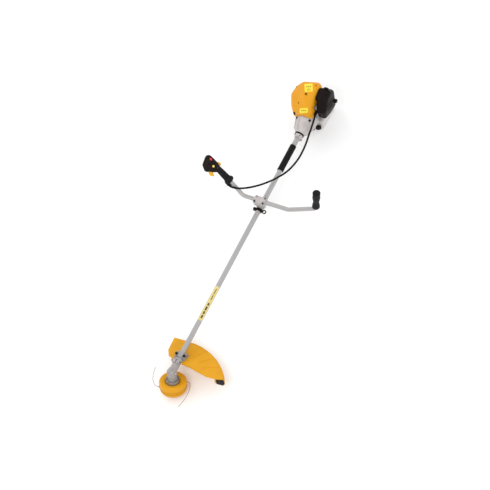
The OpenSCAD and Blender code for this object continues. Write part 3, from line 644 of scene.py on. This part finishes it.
VIEW = -cam_back
label_out = Vector((0.307, -0.952, 0))
label_up = Vector((0.899, 0.437, 0))
cover_label = at_apex(1645, 15, 150)
draped(
    "cover_label", skin, cover_label, label_out, label_up, DOWN, size=(44, 46), lift=0.35,
    material=LABEL,
)
COVER_BLOCKS = ((-9, 4, 8, 5), (1, 4, 8, 5), (11, 4, 8, 5), (0, -9, 26, 2.4), (0, -15, 20, 2.4))
for k, (u, w, wide, tall) in enumerate(COVER_BLOCKS):
    draped(
        "cover_label_block_%d" % k, skin, cover_label + (label_out * u + label_up * w) * MM,
        label_out, label_up, DOWN, size=(wide, tall), lift=0.6, material=INK,
        cells=(6, 4), corner=0.3,
    )
front_label = at_apex(1533, 0, 88)
draped(
    "front_label", skin, front_label, cam_right, cam_up, VIEW, size=(40, 25), lift=0.35,
    material=LABEL,
)
for k, (u, w, wide) in enumerate(((-9, 1, 7), (0, 1, 7), (9, 1, 7))):
    draped(
        "front_label_block_%d" % k, skin, front_label + (cam_right * u + cam_up * w) * MM,
        cam_right, cam_up, VIEW, size=(wide, 4.5), lift=0.6, material=INK,
        cells=(6, 4), corner=0.3,
    )


def on_cover(x, y):
    """Where a vertical line meets the engine cover from above, and which way it faces there."""
    return skin.ray_cast(at_apex(x, y, 360), DOWN)[:2]


screws("cover_red_plug", [on_cover(1666, -19)], RED, 0.9)
screws("cover_screws", [on_cover(1560, 40), on_cover(1640, 88)], BLACK_STEEL, 0.8)
screws("plug_access", [(at_apex(1608, 14, 129), UP)], BLACK_STEEL, 1.2)
latch = bmesh.new()
add_slab(latch, rounded(15, 9, 2.5), -3, 3, facing(at_apex(1521, 57, 53), (-0.78, 0.55, 0.3)))
keep(mesh_object("cover_latch", latch), BLACK, "chassis")

# A black air box fills the gap behind the air cleaner
air_box = bmesh.new()
AIR_BOX = ((-34, -14), (34, -14), (38, -2), (28, 24), (12, 32), (-28, 22), (-38, 6))
add_slab(air_box, AIR_BOX, -8, 8, facing(at_apex(1640, -46, 98), -SIDE), 1.5)
keep(mesh_object("air_box", air_box), BLACK, "chassis")

lug = bmesh.new()
lug_place, lug_out = at_apex(1662, -80, 139), (0.35, -0.1, 0.93)
add_slab(lug, rounded(24, 11, 3), -6, 7, facing(lug_place, lug_out, math.radians(20)), 1.5)
add_ring(lug, [(2.2, 7.4), (4.2, 7.4), (4.2, 5), (2.2, 5)], facing(lug_place, lug_out), 24)
keep(mesh_object("cleaner_lug", lug), CLEANER, "chassis")
draped(
    "cleaner_panel", cleaner_skin, at_apex(1618, -120, 66), ALONG, UP, SIDE, size=(62, 56),
    lift=1.2, material=CLEANER, cells=(20, 20), corner=8,
)
for k in range(4):
    draped(
        "cleaner_rib_%d" % k, cleaner_skin, at_apex(1618, -120, 48 + 12 * k), ALONG, UP, SIDE,
        size=(46, 3), lift=2.4, material=CLEANER, cells=(20, 4),
        corner=0.8,
    )


SEAM_HIGH, SEAM_DEEP, SEAM_EDGE = 3.5, 4, 0.4


def band(name, outline, place):
    """A raised seam round the tank, along a level outline, its edges bevelled."""
    bm = bmesh.new()
    at = facing(place, UP)
    n = len(outline)
    middle = Vector((sum(q[0] for q in outline) / n, sum(q[1] for q in outline) / n, 0))
    rows = []
    section = (
        (0, SEAM_DEEP),
        (0, SEAM_EDGE),
        (SEAM_EDGE, 0),
        (SEAM_HIGH - SEAM_EDGE, 0),
        (SEAM_HIGH, SEAM_EDGE),
        (SEAM_HIGH, SEAM_DEEP),
    )
    for h, inset in section:
        row = []
        for q in outline:
            v = Vector((q[0], q[1], 0))
            v -= (v - middle).normalized() * inset
            row.append(bm.verts.new(at @ (Vector((v.x, v.y, h)) * MM)))
        rows.append(row)
    for i in range(len(rows)):
        a, b = rows[i], rows[(i + 1) % len(rows)]
        for k in range(n):
            bm.faces.new((a[k], a[(k + 1) % n], b[(k + 1) % n], b[k]))
    keep(mesh_object(name, bm), TANK, "chassis")


band("tank_seam", rounded(149, 106, 17, 8), at_apex(1644, 0, -92))

# Outline of a rib along the clutch housing: X and distance from the shaft's centre line
HOUSING_RIB = [
    (1444, 20), (1446, 27), (1462, 41), (1480, 47), (1502, 53.5), (1512, 57), (1512, 50),
    (1480, 38), (1460, 30),
]
housing_ribs = bmesh.new()
for k in range(8):
    turn = Matrix.Rotation(math.radians(45 * k + 22.5), 4, "X")
    at = Matrix.Translation(APEX) @ turn @ Matrix.Rotation(math.radians(90), 4, "X")
    add_slab(housing_ribs, HOUSING_RIB, -1.3, 1.3, at, 0.5)
keep(mesh_object("clutch_housing_ribs", housing_ribs), CLUTCH_CAST, "chassis")


def round_shaft(x, r, angles):
    """Places on a circle round the shaft, each with its outward direction; 0 degrees is up."""
    outs = [Vector((0, math.sin(math.radians(a)), math.cos(math.radians(a)))) for a in angles]
    return [(at_apex(x, 0, 0) + out * r * MM, out) for out in outs]


screws("clutch_screws", round_shaft(1512, 54.3, (-39, 51, 141, 231)), BLACK_STEEL, 1.6)
screws("neck_bolt_cap", [(at_apex(1438, 20.6, 0), SIDE)], BLACK_STEEL, 1.8)
flange = bmesh.new()
add_ring(flange, [(54, 0), (57.2, 0.3), (57.2, 4), (54, 4.3)], facing(at_apex(1545, 0, 0), ALONG), 64)
keep(mesh_object("bell_flange", flange), CLUTCH_CAST, "chassis")

starter = bmesh.new()
add_ring(starter, [(47, 0), (50.5, 0.4), (50.5, 2.6), (47, 3)], facing(at_apex(1681, 0, 0), ALONG), 64)
for k in range(3):
    r = 12 + 10 * k
    section = [(r, 0), (r + 1.6, 0), (r + 1.6, 1.6), (r, 1.6)]
    add_ring(starter, section, facing(at_apex(1700.6 - k, 0, 0), ALONG), 48)
keep(mesh_object("starter_rings", starter), BLACK, "chassis")
screws("starter_screws", round_shaft(1655, 52.2, (-60, 60, 180)), BLACK_STEEL)

# --- shaft ---

label_turn = math.degrees(math.atan2(cam_back.y, cam_back.z))


TUBE_R = 13
TUCK = 0.1


def shaft_patch(name, x0, x1, spread, lift, material):
    """A thin patch curved round the shaft tube, as far as spread degrees to each side."""
    bm = bmesh.new()
    steps = 12
    rows = []
    under, over = TUBE_R - TUCK, TUBE_R + lift
    for x, r in ((x0, under), (x0 + 0.3, over), (x1 - 0.3, over), (x1, under)):
        row = []
        for k in range(steps + 1):
            a = math.radians(label_turn + spread * (2 * k / steps - 1))
            edge = under if k in (0, steps) else r
            row.append(bm.verts.new(at_apex(x, edge * math.sin(a), edge * math.cos(a))))
        rows.append(row)
    for a, b in zip(rows, rows[1:]):
        for k in range(steps):
            bm.faces.new((a[k], a[k + 1], b[k + 1], b[k]))
    keep(mesh_object(name, bm), material, "chassis")


shaft_patch("shaft_label", 299, 498, 62, 0.18, SHAFT_LABEL)
SHAFT_BLOCKS = ((312, 330), (336, 352), (358, 380), (386, 400), (418, 446), (452, 484))
for k, (x0, x1) in enumerate(SHAFT_BLOCKS):
    shaft_patch("shaft_label_block_%d" % k, x0, x1, 22 if k < 4 else 10, 0.32, INK)

# --- gear case, head and guard ---

spindle_at = Matrix.Translation(APEX) @ SPINDLE.to_4x4()
case_rings = bmesh.new()
add_ring(case_rings, [(23, -49.8), (26, -49.5), (26, -45), (23, -44.5)], spindle_at, 56)
add_ring(case_rings, [(23, -38), (25.2, -37.6), (25.2, -34.6), (23, -34.2)], spindle_at, 56)
add_ring(case_rings, [(23, -27), (24.8, -26.7), (24.8, -24.3), (23, -24)], spindle_at, 56)
add_ring(case_rings, [(18.5, 0), (21.2, 0.4), (21.2, 5), (18.5, 5.4)], facing(at_apex(66, 0, 0), ALONG), 48)
keep(mesh_object("gear_case_rings", case_rings), CAST, "chassis")
screws("gear_case_plug", [(at_apex(0, -23.4, 2), -SIDE)], STEEL, 1.4)
case_outs = [Vector((math.cos(a), math.sin(a), 0)) for a in (0.9, 2.5, 4.0, 5.4)]
case_places = [(spindle_at @ ((out * 25 - UP * 46) * MM), SPINDLE @ out) for out in case_outs]
screws("gear_case_screws", case_places, STEEL, 0.6)

# Two thin rings a little proud of the head, painted darker amber as the shade in its grooves.
head_groove_shade_rings = bmesh.new()
for h in (-79, -88.2):
    section = [(66.8, h - 1.6), (68.3, h - 1.4), (68.3, h + 1.4), (66.8, h + 1.6)]
    add_ring(head_groove_shade_rings, section, spindle_at, 72)
keep(mesh_object("head_groove_shade_rings", head_groove_shade_rings), PAINTED_GROOVE_SHADE, "head")
screws(
    "saddle_bolt_caps", [(at_apex(97, y, 11.6), UP) for y in (-22, 22)], BLACK_STEEL,
    1.75,
)


GUARD_R, GUARD_GROW, GUARD_SWEEP = 206, 66, 78
RIM_LOW, RIM_HIGH = 21.6, 23.6
RIB_HALF = 1.6


def guard_radius(a):
    """The guard's outer radius, in millimetres, at an angle in degrees round the head."""
    return GUARD_R + GUARD_GROW * (a / GUARD_SWEEP) ** 2.5


def guard_point(r, a):
    """A point of the guard's top, across the head's axis."""
    return (r * math.cos(math.radians(a)), -r * math.sin(math.radians(a)))


guard_ribs = bmesh.new()
rim_angles = [GUARD_SWEEP * k / 26 for k in range(27)]
outer = [guard_point(guard_radius(a) - 1.2, a) for a in rim_angles]
inner = [guard_point(guard_radius(a) - 5, a) for a in rim_angles]
rows = []
for (x0, y0), (x1, y1) in zip(outer, inner):
    section = (
        (x0, y0, RIM_LOW),
        (x0, y0, RIM_HIGH - 0.5),
        (x0 * 0.997 + x1 * 0.003, y0, RIM_HIGH),
        (x1, y1, RIM_HIGH),
        (x1, y1, RIM_LOW),
    )
    rows.append([guard_ribs.verts.new(spindle_at @ (Vector(v) * MM)) for v in section])
for a, b in zip(rows, rows[1:]):
    for k in range(5):
        guard_ribs.faces.new((a[k], a[(k + 1) % 5], b[(k + 1) % 5], b[k]))
guard_ribs.faces.new(rows[0])
guard_ribs.faces.new(list(reversed(rows[-1])))
for a in (24, 42, 60):
    c, sn = math.cos(math.radians(a)), -math.sin(math.radians(a))
    r1 = guard_radius(a) - 8
    r0 = 118 + (a - 24) * 0.9
    corners = ((r0, RIB_HALF), (r1, RIB_HALF), (r1, -RIB_HALF), (r0, -RIB_HALF))
    outline = [(r * c + side * sn, r * sn - side * c) for r, side in corners]
    add_slab(guard_ribs, outline, RIM_LOW, RIM_HIGH - 0.2, spindle_at, 0.5)
keep(mesh_object("guard_ribs", guard_ribs), YELLOW, "chassis")

# --- handles ---

RIGHT_BEND, RIGHT_END = at_apex(1014, 137, 78), at_apex(1026, 233, 240)
LEFT_BEND, LEFT_END = at_apex(1023, -321, 100), at_apex(1041, -346, 230)
right_at = facing(RIGHT_BEND, RIGHT_END - RIGHT_BEND)
left_at = facing(LEFT_BEND, LEFT_END - LEFT_BEND)
grip_rings = bmesh.new()
for k in range(9):
    h = 72 + 6.5 * k
    r = 17.9 - 0.19 * k
    add_ring(
        grip_rings, [(r - 2.5, h), (r + 0.5, h + 0.8), (r + 0.5, h + 2.6), (r - 2.5, h + 3.4)],
        right_at, 40,
    )
add_ring(grip_rings, [(11.1, 137), (15.5, 138), (14.6, 152), (11.1, 153)], right_at, 40)
add_ring(grip_rings, [(20, 52), (25.8, 53.2), (26.2, 55.5), (25.8, 57.8), (20, 59)], right_at, 48)
keep(mesh_object("throttle_grip_ribs", grip_rings), GRIP, "chassis")
left_rings = bmesh.new()
for h in (20, 23.5, 131, 134.5):
    add_ring(left_rings, [(15.5, h), (19.6, h + 0.5), (19.6, h + 2), (15.5, h + 2.5)], left_at, 44)
for k in range(3):
    r, top = 5 + 4 * k, 140.7 - 0.35 * k
    add_ring(left_rings, [(r, 139.4), (r + 1.4, 139.4), (r + 1.4, top), (r, top)], left_at, 36)
keep(mesh_object("left_grip_rings", left_rings), GRIP, "chassis")

BOOT_STRETCH = 0.9


def strain_relief(name, place, out):
    """A ribbed sleeve that tapers along a cord from where it leaves its housing."""
    bm = bmesh.new()
    profile = [(5.05, 0), (9.0, 0)]
    for k in range(6):
        h = 3 + 4 * k
        r = 8.8 - 0.5 * k
        profile += [(r, h), (r, h + 2.2), (r - 1.1, h + 2.5), (r - 1.1, h + 3.7)]
    profile += [(5.4, 28), (5.05, 28)]
    add_ring(bm, [(r, h * BOOT_STRETCH) for r, h in profile], facing(place, out), 32)
    keep(mesh_object(name, bm), BLACK, "chassis")


strain_relief("cable_boot_grip", cable_route[0], cable_route[2] - cable_route[0])
strain_relief("cable_boot_engine", cable_route[-1], cable_route[-2] - cable_route[-1])

clamp_ribs = bmesh.new()
for y in (-22, 0, 22):
    add_slab(clamp_ribs, rounded(22, 5, 1.5), 53.5, 57.2, Matrix.Translation(at_apex(1000, y, 0)), 1.2)
keep(mesh_object("clamp_cap_ribs", clamp_ribs), CLUTCH_CAST, "chassis")

# --- stage ---

floor = bpy.data.objects.new("floor", bpy.data.meshes.new("floor"))
reach = 30
corners = [(-reach, -reach, 0), (reach, -reach, 0), (reach, reach, 0), (-reach, reach, 0)]
floor.data.from_pydata(corners, [], [(0, 1, 2, 3)])
bpy.context.collection.objects.link(floor)
floor.location.z = -0.0005
pale = bpy.data.materials.new("pale_floor")
pale.use_nodes = True
pale_shader = pale.node_tree.nodes["Principled BSDF"]
pale_shader.inputs["Base Color"].default_value = (0.94, 0.94, 0.94, 1)
pale_shader.inputs["Roughness"].default_value = 0.9
floor.data.materials.append(pale)

world = bpy.data.worlds.new("studio")
bpy.context.scene.world = world
world.use_nodes = True
sky = world.node_tree.nodes["Background"]
sky.inputs["Color"].default_value = (1, 1, 1, 1)
sky.inputs["Strength"].default_value = 1.0


def area(name, place, target, size, power):
    """A soft square lamp aimed at a point."""
    lamp = bpy.data.lights.new(name, "AREA")
    lamp.size = size
    lamp.energy = power
    obj = bpy.data.objects.new(name, lamp)
    bpy.context.collection.objects.link(obj)
    obj.location = place
    aim = Vector(target) - Vector(place)
    obj.rotation_mode = "QUATERNION"
    obj.rotation_quaternion = aim.to_track_quat("-Z", "Y")


area("key", (-3.0, -1.0, 4.5), (0, 0, 0), size=2.5, power=70)
area("fill", (2.5, -4.0, 3.0), (0, 0, 0.1), size=3.0, power=22)
area("rim", (1.5, 3.5, 3.0), (0, 0, 0.1), size=2.5, power=22)

bpy.context.scene.view_settings.view_transform = "Standard"
